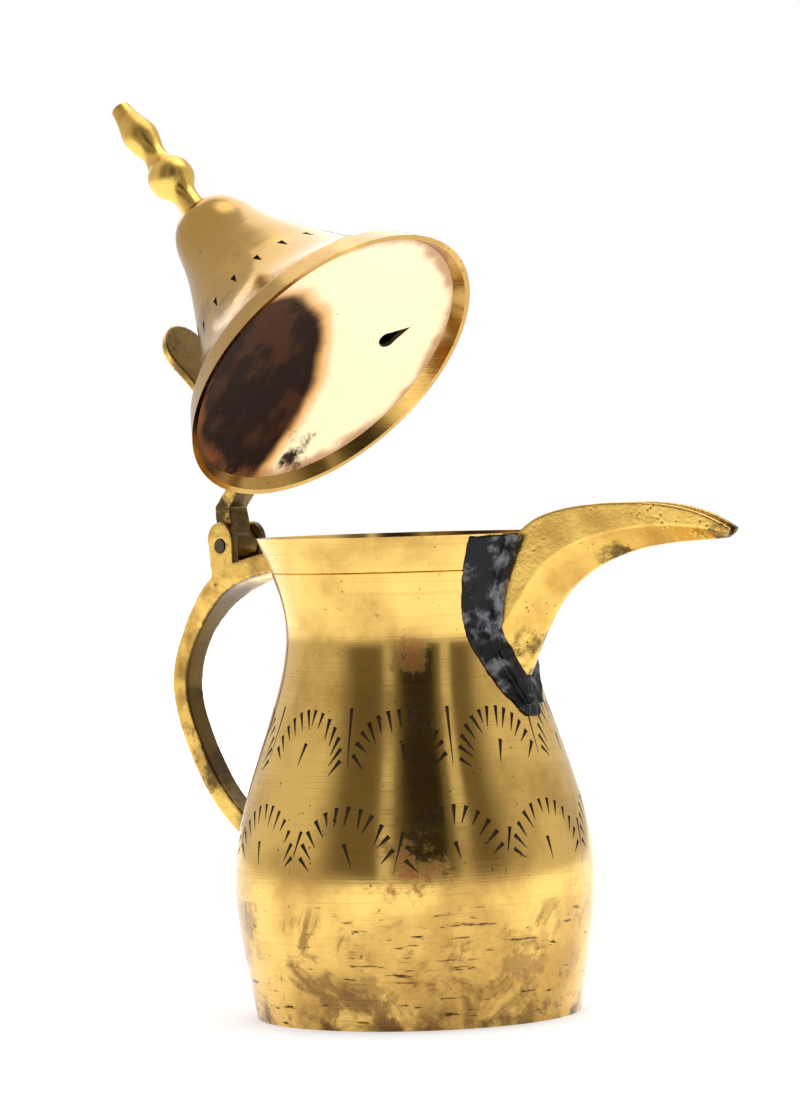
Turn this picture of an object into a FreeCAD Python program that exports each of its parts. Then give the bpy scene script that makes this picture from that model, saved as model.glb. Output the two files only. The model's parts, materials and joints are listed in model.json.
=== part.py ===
import FreeCAD, Part
import math
import os

# Small brass coffee pot with its lid open. Millimetres, +Z up, origin at the centre of the base.
# The handle and the hinge lie towards -X, the spout towards +X.

# Pot body, spun in two halves that lap at the belly: outer radii and heights.
# Drops are below the rim, insets are inside the belly's radius.
pot_height = 95.7
rim_radius = 30.0
throat_radius = 27.0
throat_drop = 7.2
neck_radius = 24.6
neck_drop = 20.2
waist_radius = 27.2
waist_drop = 33.2
shoulder_inset = 3.7
shoulder_z = 46.9
belly_radius = 36.1
belly_z = 28.0
bowl_inset = 1.2
bowl_z = 14.5
base_inset = 3.7
pot_wall = 1.2
seam_z = 24.5
lap_height = 4.0
lap_wall = 0.8
base_thickness = 1.4
solder_leg = 1.2

# Cast spout: an open beak that narrows towards its tip, turned a little off the handle's plane.
# Each station pairs a point of the lip with a point of the keel, as reach and height above the rim.
spout_turn = 11.8
spout_stations = (
    ((31.5, 1.7), (29.0, -25.3)),
    ((38.5, 4.4), (35.6, -13.7)),
    ((48.0, 5.4), (43.6, -7.3)),
    ((58.0, 5.1), (53.6, -3.7)),
    ((67.0, 3.2), (64.5, -2.4)),
    ((73.6, 0.0), (72.6, -1.9)),
)
spout_lip_root_drop = 5.0
spout_keel_root_drop = 31.2
spout_root_half_width = 6.4
spout_tip_half_width = 2.3
spout_keel_share = 0.15
spout_bevel_share = 0.22
spout_bevel_width_share = 0.5
spout_cheek_share = 0.5
spout_wall = 1.3
spout_floor_share = 0.1
spout_roof_rise = 3.0
pour_slot_half_width = 4.4
pour_slot_foot_half_width = 1.6
pour_slot_depth = 22.0

# Lead solder that holds the spout: a flat smear on the neck and a bead along the spout's root
smear_thickness = 0.6
bead_thickness = 1.9
bead_width = 2.4
smear_rim_half_width = 17.0
smear_neck_half_width = 13.0
smear_keel_half_width = 7.5
smear_drop = 5.0
smear_rim_gap = 0.5

# Cast handle with a fork at its top that carries the hinge. Its upper points drop from the rim.
handle_thickness = 4.2
handle_half_width = 2.4
handle_root_drop = 6.1
handle_elbow_x = -51.0
handle_elbow_drop = 11.1
handle_shoulder_x = -58.8
handle_shoulder_drop = 18.7
handle_reach = 63.2
handle_reach_z = 65.5
handle_calf = (-59.8, 53.2)
handle_ankle = (-51.2, 40.6)
handle_foot_z = 31.0
handle_widening_drop = 19.7
fork_ear_thickness = 1.9
fork_slot_width = 6.4
fork_shoulder_drop = 8.7
ear_half_length = 3.6
ear_straight = 1.3
handle_solder_thickness = 0.8
handle_solder_margin = 1.8

# Hinge: steel pin through the fork, lid knuckle between the ears
pin_x = -47.5
pin_drop = 1.7
pin_radius = 1.4
pin_proud = 0.2
hinge_running_gap = 0.06
hinge_side_gap = 0.3
knuckle_radius = 3.2
knuckle_floor_gap = 0.4

# Lid: bell with a turned band, standing open; heights are above its rim
lid_open_angle = 48.5
lid_set_back = 1.5
lid_seat_gap = 0.5
lid_radius = 34.0
lid_wall = 1.1
lid_band_height = 5.2
lid_band_radius = 31.0
lid_bell_points = ((26.0, 10.0), (19.2, 20.0), (14.2, 30.0), (10.2, 39.5))
lid_shoulder_radius = 7.7
lid_shoulder_height = 46.6
lid_top_height = 50.2

# Liner: a shallow dish that closes the lid from below, with a drop-shaped hole off its centre
liner_edge_height = 1.6
liner_dish = 5.0
liner_thickness = 1.0
liner_fit = 0.05
vent_x = 2.8
vent_y = 18.5
vent_radius = 1.9
vent_length = 5.6
vent_turn = 42.0

# Turned finial, riveted through the top of the lid and slightly bent towards the front
finial_height = 31.8
finial_lean = 4.9
finial_base_radius = 2.75
finial_collar_radius = 3.1
finial_collar_height = 6.4
finial_ring_radius = 4.8
finial_ring_height = 10.6
finial_ring_half_depth = 2.1
finial_ring_edge = 0.4
finial_neck_radius = 2.6
finial_neck_height = 18.1
finial_bulge_radius = 3.7
finial_bulge_height = 22.9
finial_tip_radius = 2.1
tenon_radius = 1.6
rivet_radius = 2.4
rivet_height = 0.8

# Hinge strap on the lid: a gooseneck arm from the knuckle, ending in an upright thumb leaf
strap_half_width = 2.7
strap_thickness = 1.8
strap_arm_rise = 4.7
strap_arm_height = 3.2
strap_arm_heel = 6.2
strap_lid_gap = 0.15
leaf_lean = 0.29
leaf_height = 40.0
leaf_half_width = 6.1
leaf_wide_height = 34.0
leaf_neck_height = 24.0
strap_solder_height = 4.0

# Heights that follow the rim
neck_z = pot_height - neck_drop
waist_z = pot_height - waist_drop
spout_keel_root_z = pot_height - spout_keel_root_drop
handle_root_z = pot_height - handle_root_drop
handle_elbow_z = pot_height - handle_elbow_drop
handle_widening_z = pot_height - handle_widening_drop
fork_shoulder_z = pot_height - fork_shoulder_drop
pin_z = pot_height - pin_drop

far = 400.0
axis_z = FreeCAD.Vector(0, 0, 1)
axis_y = FreeCAD.Vector(0, 1, 0)
origin = FreeCAD.Vector(0, 0, 0)


def at(x, z, y=0.0):
    return FreeCAD.Vector(x, y, z)


def curve_through(points):
    curve = Part.BSplineCurve()
    curve.interpolate([at(*point) for point in points])
    return curve


def offset_points(points, distance):
    # Points moved square to the smooth curve through them, to the left of its run
    curve = curve_through(points)
    moved = []
    for point in points:
        tangent = curve.tangent(curve.parameter(at(*point)))[0]
        moved.append((point[0] - tangent.z * distance, point[1] + tangent.x * distance))
    return moved


def face_of(*edges):
    return Part.Face(Part.Wire(Part.__sortEdges__(list(edges))))


def line(start, end):
    return Part.makeLine(at(*start), at(*end))


def polygon(points):
    corners = [at(*point) for point in points]
    return Part.Face(Part.makePolygon(corners + corners[:1]))


def plate(face, half_width):
    # A face in the XZ plane thickened to both sides of that plane
    solid = face.extrude(FreeCAD.Vector(0, 2 * half_width, 0))
    solid.translate(FreeCAD.Vector(0, -half_width, 0))
    return solid


def front_plate(points):
    # An outline of (y, z) points, thickened far to both sides along X
    corners = [FreeCAD.Vector(-far, y, z) for y, z in points]
    face = Part.Face(Part.makePolygon(corners + corners[:1]))
    return face.extrude(FreeCAD.Vector(2 * far, 0, 0))


def turned(face):
    return face.revolve(origin, axis_z, 360)


def slab(bottom, top):
    return Part.makeBox(2 * far, 2 * far, top - bottom, FreeCAD.Vector(-far, -far, bottom))


def towards_handle(shape):
    half = Part.makeBox(far, 2 * far, 2 * far, FreeCAD.Vector(-far, -far, -far))
    return shape.common(half)


def towards_spout(shape):
    half = Part.makeBox(far, 2 * far, 2 * far, FreeCAD.Vector(0, -far, -far))
    return shape.common(half)


pot_profile = [
    (belly_radius - base_inset, 0.0),
    (belly_radius - bowl_inset, bowl_z),
    (belly_radius, belly_z),
    (belly_radius - shoulder_inset, shoulder_z),
    (waist_radius, waist_z),
    (neck_radius, neck_z),
    (throat_radius, pot_height - throat_drop),
    (rim_radius, pot_height),
]


def pot_form(inset):
    # Everything inside the pot's outer surface, moved in by inset, cut flat at the base and the rim
    points = offset_points(pot_profile, inset)
    curve = curve_through(points)
    bottom = (points[0][0], points[0][1] - abs(inset) - 1)
    top = (points[-1][0] + (points[-1][0] - points[-2][0]) * 0.2, points[-1][1] + abs(inset) + 1)
    solid = turned(face_of(
        line((0, bottom[1]), bottom),
        line(bottom, points[0]),
        curve.toShape(),
        line(points[-1], top),
        line(top, (0, top[1])),
        line((0, top[1]), (0, bottom[1])),
    ))
    return solid.common(slab(0, pot_height))


def skin(thickness):
    return pot_form(-thickness).cut(pot_form(0))


def make_upper_shell():
    shell = pot_form(0).cut(pot_form(pot_wall)).common(slab(seam_z, pot_height))
    foot = pot_height - pour_slot_depth
    slot = front_plate([
        (-pour_slot_foot_half_width, foot),
        (pour_slot_foot_half_width, foot),
        (pour_slot_half_width, pot_height + 1),
        (-pour_slot_half_width, pot_height + 1),
    ])
    return shell.cut(spout_frame(towards_spout(slot)))


def make_lower_bowl():
    wall = pot_form(0).cut(pot_form(pot_wall)).common(slab(0, seam_z))
    lap = pot_form(pot_wall).cut(pot_form(pot_wall + lap_wall))
    lap = lap.common(slab(seam_z - lap_height, seam_z + lap_height))
    return wall.fuse(lap).removeSplitter()


def make_base_disc():
    return pot_form(pot_wall).common(slab(0, base_thickness))


def inner_bead(bottom, inset):
    ring = pot_form(inset).cut(pot_form(inset + solder_leg))
    return ring.common(slab(bottom, bottom + solder_leg))


def spout_half_width(reach):
    # The beak's half width from above: wide at the pot, narrow at the tip
    tip_lip = spout_stations[-1][0]
    share = (reach - rim_radius) / (tip_lip[0] - rim_radius)
    return spout_root_half_width + share * (spout_tip_half_width - spout_root_half_width)


def spout_pairs():
    # The stations from inside the pot's wall out to the tip
    inside = neck_radius - pot_wall
    lip_root = (inside, pot_height - spout_lip_root_drop)
    keel_root = (inside - spout_root_half_width / 2, spout_keel_root_z - spout_root_half_width)
    pairs = [(lip_root, keel_root)]
    for lip, keel in spout_stations:
        pairs.append(((lip[0], pot_height + lip[1]), (keel[0], pot_height + keel[1])))
    return pairs


def between(start, end, share):
    return tuple(a + (b - a) * share for a, b in zip(start, end))


def ring_of(half_outline):
    # A closed section, symmetric about the XZ plane, from ((reach, height), half width) corners
    right = [at(point[0], point[1], half) for point, half in half_outline]
    left = [at(point[0], point[1], -half) for point, half in reversed(half_outline)]
    return Part.makePolygon(right + left + right[:1])


def spout_section(lip, keel):
    # Upright cheeks above, drawn in to a bevelled keel below
    half = spout_half_width(lip[0])
    return ring_of([
        (lip, half),
        (between(keel, lip, spout_cheek_share), half),
        (between(keel, lip, spout_bevel_share), half * spout_bevel_width_share),
        (keel, half * spout_keel_share),
    ])


def channel_section(lip, keel):
    # The hollow inside the beak, open above the lip
    half = spout_half_width(lip[0])
    roof = between(keel, lip, 1 + spout_roof_rise / math.dist(keel, lip))
    floor_share = spout_bevel_share + spout_floor_share
    floor_half = half * spout_bevel_width_share - spout_wall / 2
    return ring_of([
        (roof, half - spout_wall),
        (between(keel, lip, spout_cheek_share + spout_floor_share), half - spout_wall),
        (between(keel, lip, floor_share), floor_half),
    ])


def spout_frame(shape):
    shape.rotate(origin, axis_z, spout_turn)
    return shape


def spout_channel():
    return Part.makeLoft([channel_section(*pair) for pair in spout_pairs()], True)


def make_spout():
    beak = Part.makeLoft([spout_section(*pair) for pair in spout_pairs()], True)
    beak = beak.cut(spout_channel()).cut(pot_form(0))
    return spout_frame(max(beak.Solids, key=lambda solid: solid.Volume))


def make_spout_solder(spout):
    top = pot_height - smear_rim_gap
    bottom = spout_keel_root_z - smear_drop
    smear = front_plate([
        (-smear_rim_half_width, top),
        (-smear_neck_half_width, neck_z),
        (-smear_keel_half_width, spout_keel_root_z),
        (-spout_tip_half_width, bottom),
        (spout_tip_half_width, bottom),
        (smear_keel_half_width, spout_keel_root_z),
        (smear_neck_half_width, neck_z),
        (smear_rim_half_width, top),
    ])
    bead_half_width = spout_root_half_width + bead_width
    bead = front_plate([
        (-bead_half_width, top),
        (-bead_half_width, neck_z),
        (-spout_tip_half_width, spout_keel_root_z - smear_drop / 2),
        (spout_tip_half_width, spout_keel_root_z - smear_drop / 2),
        (bead_half_width, neck_z),
        (bead_half_width, top),
    ])
    solder = skin(smear_thickness).common(smear).fuse(skin(bead_thickness).common(bead))
    solder = towards_spout(solder)
    solder = spout_frame(solder.cut(spout_channel())).cut(spout)
    return max(solder.Solids, key=lambda solid: solid.Volume)


def handle_line():
    inside = neck_radius * 0.6
    return [
        (-inside, handle_root_z),
        ((pin_x - rim_radius) / 2, handle_root_z),
        (handle_elbow_x, handle_elbow_z),
        (handle_shoulder_x, pot_height - handle_shoulder_drop),
        (-handle_reach, handle_reach_z),
        handle_calf,
        handle_ankle,
        (-belly_radius, handle_foot_z),
        (-belly_radius * 0.7, handle_foot_z - 3),
    ]


def fork_half_width():
    return fork_slot_width / 2 + fork_ear_thickness


def make_handle():
    middle = handle_line()
    inner = offset_points(middle, handle_thickness / 2)
    outer = offset_points(middle, -handle_thickness / 2)
    side = face_of(
        curve_through(inner).toShape(),
        line(inner[-1], outer[-1]),
        curve_through(outer).toShape(),
        line(outer[0], inner[0]),
    )
    fork = fork_half_width()
    strap = plate(side, fork)
    taper_z = (handle_widening_z + fork_shoulder_z) / 2
    taper = handle_half_width + (fork - handle_half_width) * 0.3
    width = front_plate([
        (-handle_half_width, 0),
        (handle_half_width, 0),
        (handle_half_width, handle_widening_z),
        (taper, taper_z),
        (fork, fork_shoulder_z),
        (fork, pot_height),
        (-fork, pot_height),
        (-fork, fork_shoulder_z),
        (-taper, taper_z),
        (-handle_half_width, handle_widening_z),
    ])
    strap = strap.common(width)
    ear_top = pin_z + ear_straight
    front_foot = (pin_x + ear_half_length, handle_root_z)
    back_foot = (pin_x - ear_half_length * 0.7, handle_elbow_z + handle_thickness / 4)
    crown = Part.Arc(
        at(pin_x - ear_half_length, ear_top),
        at(pin_x, ear_top + ear_half_length),
        at(pin_x + ear_half_length, ear_top),
    ).toShape()
    ear = face_of(
        crown,
        line((pin_x + ear_half_length, ear_top), front_foot),
        line(front_foot, back_foot),
        line(back_foot, (pin_x - ear_half_length, ear_top)),
    )
    handle = strap.fuse(plate(ear, fork)).removeSplitter()
    slot_floor = pin_z - knuckle_radius - knuckle_floor_gap
    slot = Part.makeBox(
        2 * (knuckle_radius + knuckle_floor_gap) + far,
        fork_slot_width,
        far,
        FreeCAD.Vector(pin_x + knuckle_radius + knuckle_floor_gap, -fork_slot_width / 2, slot_floor),
    )
    slot.translate(FreeCAD.Vector(-slot.BoundBox.XLength, 0, 0))
    handle = handle.cut(slot).cut(pin_rod(pin_radius, fork)).cut(pot_form(0))
    return max(handle.Solids, key=lambda solid: solid.Volume)


def pin_rod(radius, half_length):
    start = FreeCAD.Vector(pin_x, -half_length, pin_z)
    return Part.makeCylinder(radius, 2 * half_length, start, axis_y)


def make_hinge_pin():
    return pin_rod(pin_radius, fork_half_width() + pin_proud)


def handle_solder(handle, z):
    half_height = handle_thickness / 2 + handle_solder_margin
    half_width = fork_half_width() if z > neck_z else handle_half_width
    half_width = half_width + handle_solder_margin
    patch = front_plate([
        (-half_width * 0.7, z - half_height),
        (half_width * 0.7, z - half_height),
        (half_width, z),
        (half_width * 0.7, z + half_height),
        (-half_width * 0.7, z + half_height),
        (-half_width, z),
    ])
    return towards_handle(skin(handle_solder_thickness).common(patch)).cut(handle)


def lid_rim_z():
    return pot_height + lid_seat_gap


def lid_form(inset):
    # Everything inside the lid's outer surface, moved in by inset, standing on the rim plane
    bell = [(lid_band_radius, lid_band_height)]
    bell += list(lid_bell_points)
    bell += [(lid_shoulder_radius, lid_shoulder_height), (finial_base_radius, lid_top_height)]
    points = offset_points(bell, inset)
    band_slope = (lid_radius - lid_band_radius) / lid_band_height
    skirt = (points[0][0] + band_slope * (points[0][1] + 1), -1.0)
    top = (0.0, points[-1][1])
    solid = turned(face_of(
        line((0.0, -1.0), skirt),
        line(skirt, points[0]),
        curve_through(points).toShape(),
        line(points[-1], top),
        line(top, (0.0, -1.0)),
    ))
    solid = solid.common(slab(0, far))
    solid.translate(FreeCAD.Vector(-lid_set_back, 0, lid_rim_z()))
    return solid


def opened(shape):
    # Closed pose turned about the hinge pin to the open pose
    shape.rotate(at(pin_x, pin_z), FreeCAD.Vector(0, -1, 0), lid_open_angle)
    return shape


def vent_drop():
    # A round heel drawn out to a point, all through the liner
    heel = FreeCAD.Vector(vent_x - lid_set_back, vent_y, lid_rim_z())
    turn = math.radians(vent_turn)
    ahead = FreeCAD.Vector(math.cos(turn), math.sin(turn), 0)
    aside = FreeCAD.Vector(-math.sin(turn), math.cos(turn), 0)
    corners = [heel + aside * vent_radius, heel + ahead * vent_length, heel - aside * vent_radius]
    point = Part.Face(Part.makePolygon(corners + corners[:1])).extrude(axis_z * lid_top_height)
    return Part.makeCylinder(vent_radius, lid_top_height, heel).fuse(point)


def liner_ball(lift):
    # The ball whose cap is one face of the dish
    radius = (lid_radius ** 2 + liner_dish ** 2) / (2 * liner_dish)
    crown = lid_rim_z() + liner_edge_height + liner_dish
    return Part.makeSphere(radius + lift, FreeCAD.Vector(-lid_set_back, 0, crown - radius))


def make_lid_liner():
    dish = liner_ball(liner_thickness).cut(liner_ball(0))
    return opened(dish.common(lid_form(lid_wall + liner_fit)).cut(vent_drop()))


def make_lid_bell():
    bell = lid_form(0).cut(lid_form(lid_wall))
    top = lid_rim_z() + lid_top_height
    hole = Part.makeCylinder(tenon_radius, far, FreeCAD.Vector(-lid_set_back, 0, top - lid_band_height))
    return opened(bell.cut(hole))


def make_finial():
    tip = finial_height
    ring = finial_ring_height
    profile = [
        (finial_base_radius, 0.0),
        (finial_neck_radius, finial_collar_height / 2),
        (finial_collar_radius, finial_collar_height),
        (finial_ring_radius - finial_ring_edge, ring - finial_ring_half_depth),
        (finial_ring_radius, ring),
        (finial_ring_radius - finial_ring_edge, ring + finial_ring_half_depth),
        (finial_collar_radius, 2 * ring - finial_collar_height),
        (finial_neck_radius, finial_neck_height),
        (finial_bulge_radius, finial_bulge_height),
        ((finial_bulge_radius + finial_tip_radius) / 2, (finial_bulge_height + tip) / 2),
        (finial_tip_radius, tip),
    ]
    stem = turned(face_of(
        line((0, -1), (finial_base_radius, -1)),
        line((finial_base_radius, -1), profile[0]),
        curve_through(profile).toShape(),
        line(profile[-1], (0, tip)),
        line((0, tip), (0, -1)),
    ))
    stem.rotate(origin, axis_y, finial_lean)
    top = lid_rim_z() + lid_top_height
    stem.translate(FreeCAD.Vector(-lid_set_back, 0, top))
    stem = stem.cut(lid_form(0))
    under = lid_form(lid_wall).BoundBox.ZMax
    tenon_foot = FreeCAD.Vector(-lid_set_back, 0, under)
    tenon = Part.makeCylinder(tenon_radius, top - under + finial_base_radius / 2, tenon_foot)
    rivet = Part.makeCylinder(
        rivet_radius, rivet_height, FreeCAD.Vector(-lid_set_back, 0, under - rivet_height))
    return opened(stem.fuse(tenon).fuse(rivet).removeSplitter())


def strap_foot():
    # Height of the arm's underside above the lid's rim
    return pin_z + strap_arm_rise - lid_rim_z()


def leaf_face(height):
    # Where the thumb leaf's inner face stands, at a height above the lid's rim
    band_slope = (lid_radius - lid_band_radius) / lid_band_height
    seat = lid_radius - band_slope * strap_foot() + strap_lid_gap
    return -lid_set_back - seat + leaf_lean * (height - strap_foot())


def make_lid_strap():
    rim = lid_rim_z()
    foot = strap_foot()
    knuckle = pin_rod(knuckle_radius, fork_slot_width / 2 - hinge_side_gap)
    arm_top = foot + strap_arm_height
    arm = polygon([
        (pin_x + knuckle_radius * 0.9, pin_z),
        (pin_x + strap_arm_heel, rim + foot),
        (leaf_face(foot), rim + foot),
        (leaf_face(arm_top), rim + arm_top),
        (pin_x + strap_arm_heel - strap_arm_height * 0.8, rim + arm_top),
        (pin_x - knuckle_radius * 0.5, pin_z + knuckle_radius * 0.8),
    ])
    arm = plate(arm, strap_half_width)
    side = polygon([
        (leaf_face(foot), rim + foot),
        (leaf_face(leaf_height), rim + leaf_height),
        (leaf_face(leaf_height) - strap_thickness, rim + leaf_height),
        (leaf_face(foot) - strap_thickness, rim + foot),
    ])
    edge = [
        (strap_half_width, leaf_neck_height),
        (leaf_half_width * 0.72, (leaf_neck_height + leaf_wide_height) / 2),
        (leaf_half_width, leaf_wide_height),
        (leaf_half_width * 0.74, (leaf_wide_height + leaf_height * 2) / 3),
        (0.0, leaf_height),
    ]
    curve = curve_through(edge)
    right = curve.toShape()
    left = right.mirror(origin, FreeCAD.Vector(1, 0, 0))
    outline = face_of(
        right,
        left,
        line((-strap_half_width, leaf_neck_height), (-strap_half_width, foot)),
        line((-strap_half_width, foot), (strap_half_width, foot)),
        line((strap_half_width, foot), (strap_half_width, leaf_neck_height)),
    )
    outline.translate(FreeCAD.Vector(0, 0, rim))
    outline.rotate(origin, axis_z, 90)
    front = outline.extrude(FreeCAD.Vector(-far, 0, 0))
    leaf = plate(side, far / 2).common(front)
    strap = knuckle.fuse(arm).fuse(leaf).removeSplitter()
    strap = strap.cut(pin_rod(pin_radius + hinge_running_gap, far / 2))
    return strap


def make_strap_solder(strap):
    bottom = strap_foot()
    top = bottom + strap_solder_height
    rim = lid_rim_z()
    inside = -lid_set_back - lid_band_radius * 0.8
    wedge = polygon([
        (leaf_face(bottom), rim + bottom),
        (leaf_face(top), rim + top),
        (inside, rim + top),
        (inside, rim + bottom),
    ])
    wedge = plate(wedge, strap_half_width).cut(lid_form(0)).cut(strap)
    return max(wedge.Solids, key=lambda solid: solid.Volume)


def build():
    spout = make_spout()
    handle = make_handle()
    strap = make_lid_strap()
    return {
        "upper_shell": make_upper_shell(),
        "lower_bowl": make_lower_bowl(),
        "base_disc": make_base_disc(),
        "belly_solder": inner_bead(seam_z + lap_height, pot_wall),
        "base_solder": inner_bead(base_thickness, pot_wall),
        "spout": spout,
        "spout_solder": make_spout_solder(spout),
        "handle": handle,
        "handle_top_solder": handle_solder(handle, handle_root_z),
        "handle_foot_solder": handle_solder(handle, handle_foot_z),
        "hinge_pin": make_hinge_pin(),
        "lid_bell": make_lid_bell(),
        "lid_liner": make_lid_liner(),
        "finial": make_finial(),
        "strap_solder": opened(make_strap_solder(strap)),
        "lid_strap": opened(strap),
    }


os.makedirs("parts", exist_ok=True)
for name, shape in build().items():
    print(name, shape.isValid(), len(shape.Solids), round(shape.Volume, 1))
    shape.exportStep("parts/" + name + ".step")
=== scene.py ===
import json
import math

import bmesh
import bpy
from mathutils import Euler, Matrix, Vector
from mathutils.bvhtree import BVHTree


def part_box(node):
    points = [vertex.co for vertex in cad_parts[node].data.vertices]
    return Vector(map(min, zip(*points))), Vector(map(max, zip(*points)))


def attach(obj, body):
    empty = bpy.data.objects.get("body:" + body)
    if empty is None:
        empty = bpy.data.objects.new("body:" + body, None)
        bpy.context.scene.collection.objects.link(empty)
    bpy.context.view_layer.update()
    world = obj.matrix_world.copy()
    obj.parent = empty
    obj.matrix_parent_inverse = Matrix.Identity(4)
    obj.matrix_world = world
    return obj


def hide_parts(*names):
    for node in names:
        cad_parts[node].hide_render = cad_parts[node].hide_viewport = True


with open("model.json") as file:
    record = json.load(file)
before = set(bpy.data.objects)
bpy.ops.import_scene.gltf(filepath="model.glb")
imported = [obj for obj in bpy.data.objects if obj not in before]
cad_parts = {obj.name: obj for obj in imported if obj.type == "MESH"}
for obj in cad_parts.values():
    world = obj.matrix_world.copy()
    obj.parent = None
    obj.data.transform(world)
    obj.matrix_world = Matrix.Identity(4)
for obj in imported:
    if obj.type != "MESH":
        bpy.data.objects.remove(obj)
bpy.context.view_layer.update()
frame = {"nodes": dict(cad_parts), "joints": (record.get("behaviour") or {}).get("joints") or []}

mm = 0.001
nodes = frame["nodes"]
hinge = frame["joints"][0]
print("frame loaded", len(nodes), "nodes")


# small helpers for shader and geometry trees

def addNode(tree, kind, **settings):
    node = tree.nodes.new(kind)
    for key, value in settings.items():
        setattr(node, key, value)
    return node


def feed(tree, socket, value):
    # a socket gets linked, anything else becomes the input's own value
    if isinstance(value, bpy.types.NodeSocket):
        tree.links.new(value, socket)
    else:
        socket.default_value = value


def math1(tree, operation, a, b=None):
    node = addNode(tree, "ShaderNodeMath", operation=operation)
    feed(tree, node.inputs[0], a)
    if b is not None:
        feed(tree, node.inputs[1], b)
    return node.outputs[0]


def vecMath(tree, operation, a, b=None, scale=None):
    node = addNode(tree, "ShaderNodeVectorMath", operation=operation)
    feed(tree, node.inputs[0], a)
    if b is not None:
        feed(tree, node.inputs[1], b)
    if scale is not None:
        feed(tree, node.inputs["Scale"], scale)
    return node.outputs["Value"] if operation == "DISTANCE" else node.outputs["Vector"]


def combine(tree, x, y, z):
    node = addNode(tree, "ShaderNodeCombineXYZ")
    for socket, value in zip(node.inputs, (x, y, z)):
        feed(tree, socket, value)
    return node.outputs[0]


def separate(tree, vector):
    node = addNode(tree, "ShaderNodeSeparateXYZ")
    feed(tree, node.inputs[0], vector)
    return node.outputs


def noise(tree, vector, scale, detail=3.0, roughness=0.55, distortion=0.0):
    node = addNode(tree, "ShaderNodeTexNoise")
    feed(tree, node.inputs["Vector"], vector)
    node.inputs["Scale"].default_value = scale
    node.inputs["Detail"].default_value = detail
    node.inputs["Roughness"].default_value = roughness
    node.inputs["Distortion"].default_value = distortion
    return node.outputs["Fac"]


def span(tree, value, low, high, toLow=0.0, toHigh=1.0):
    # smooth step from low to high
    node = addNode(tree, "ShaderNodeMapRange", interpolation_type="SMOOTHSTEP")
    feed(tree, node.inputs["Value"], value)
    node.inputs["From Min"].default_value = low
    node.inputs["From Max"].default_value = high
    node.inputs["To Min"].default_value = toLow
    node.inputs["To Max"].default_value = toHigh
    return node.outputs["Result"]


def blendColour(tree, factor, a, b):
    node = addNode(tree, "ShaderNodeMix", data_type="RGBA")
    feed(tree, node.inputs["Factor"], factor)
    for socket, value in ((node.inputs[6], a), (node.inputs[7], b)):
        feed(tree, socket, value if isinstance(value, bpy.types.NodeSocket) else (*value, 1.0))
    return node.outputs[2]


def stretched(tree, position, across, upward):
    # the place scaled apart along Z and across it, for marks that lie level
    x, y, z = separate(tree, position)
    return combine(tree, math1(tree, "MULTIPLY", x, across), math1(tree, "MULTIPLY", y, across),
                   math1(tree, "MULTIPLY", z, upward))


patchEdge = {
    "scale": 150,
    "sway": 0.9,     # these three are shares of a patch's reach
    "clear": 1.1,
    "full": 0.1,
}


def patchAt(tree, position, centre, reach):
    # a ragged round patch about a point
    sway = patchEdge["sway"] * reach
    ragged = span(tree, noise(tree, position, patchEdge["scale"], 6, 0.7), 0.25, 0.75, -sway, sway)
    away = math1(tree, "ADD", vecMath(tree, "DISTANCE", position, centre), ragged)
    return span(tree, away, patchEdge["clear"] * reach, patchEdge["full"] * reach)


def stained(tree, position, colour, places, strength, tint):
    # patches of a tint laid over a colour, and the cover they give
    cover = 0.0
    for centre, reach in places:
        spot = math1(tree, "MULTIPLY", patchAt(tree, position, centre, reach), strength)
        colour = blendColour(tree, spot, colour, tint)
        cover = math1(tree, "MAXIMUM", spot, cover)
    return colour, cover


def newMaterial(name):
    material = bpy.data.materials.new(name)
    material.use_nodes = True
    tree = material.node_tree
    shader = tree.nodes["Principled BSDF"]
    position = addNode(tree, "ShaderNodeTexCoord").outputs["Object"]
    return material, tree, shader, position


def bumped(tree, shader, height, distance):
    bump = addNode(tree, "ShaderNodeBump")
    feed(tree, bump.inputs["Height"], height)
    bump.inputs["Distance"].default_value = distance
    bump.inputs["Strength"].default_value = 1.0
    tree.links.new(bump.outputs["Normal"], shader.inputs["Normal"])


# brass of the spun pieces; places and reaches are in metres

brass = {
    "gold": (0.86, 0.565, 0.16),
    "dull": (0.50, 0.295, 0.078),
    "brown": (0.17, 0.085, 0.03),
    "copper": (0.34, 0.115, 0.035),
    "scratch": (0.03, 0.018, 0.01),
    "cloudScale": 55,
    "dullSpan": 0.33,
    "lineScale": (30.0, 2600.0),
    "lineTint": 0.4,
    "speckScale": 900,
    "speckSpan": (0.70, 0.76),
    "roughness": (0.10, 0.24),
    "lineRoughness": 0.06,
    "copperRoughness": 0.35,
    "copperStrength": 0.85,
    "stainStrength": 0.6,
    "bump": 0.000012,
    "speckBump": 0.25,
    "copperAt": (((0.0240, -0.0262, 0.0305), 0.0065), ((0.0172, -0.0183, 0.0720), 0.0030)),
}
bowlWear = {
    "top": 0.030,
    "full": 0.018,
    "patchScale": 85,
    "patchStrength": 0.75,
    "scratchScale": (130.0, 900.0),
    "footTop": 0.007,
    "footFull": 0.0005,
    "footScale": 140,
    "stainAt": (((-0.0150, -0.0325, 0.0205), 0.0060), ((0.0335, -0.0080, 0.0120), 0.0070),
                ((0.0140, -0.0310, 0.0075), 0.0065)),
}
lidStains = (((-0.0376, -0.0198, 0.1216), 0.0060), ((-0.0375, -0.0184, 0.1383), 0.0055),
             ((-0.0271, -0.0230, 0.1409), 0.0050))


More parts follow.
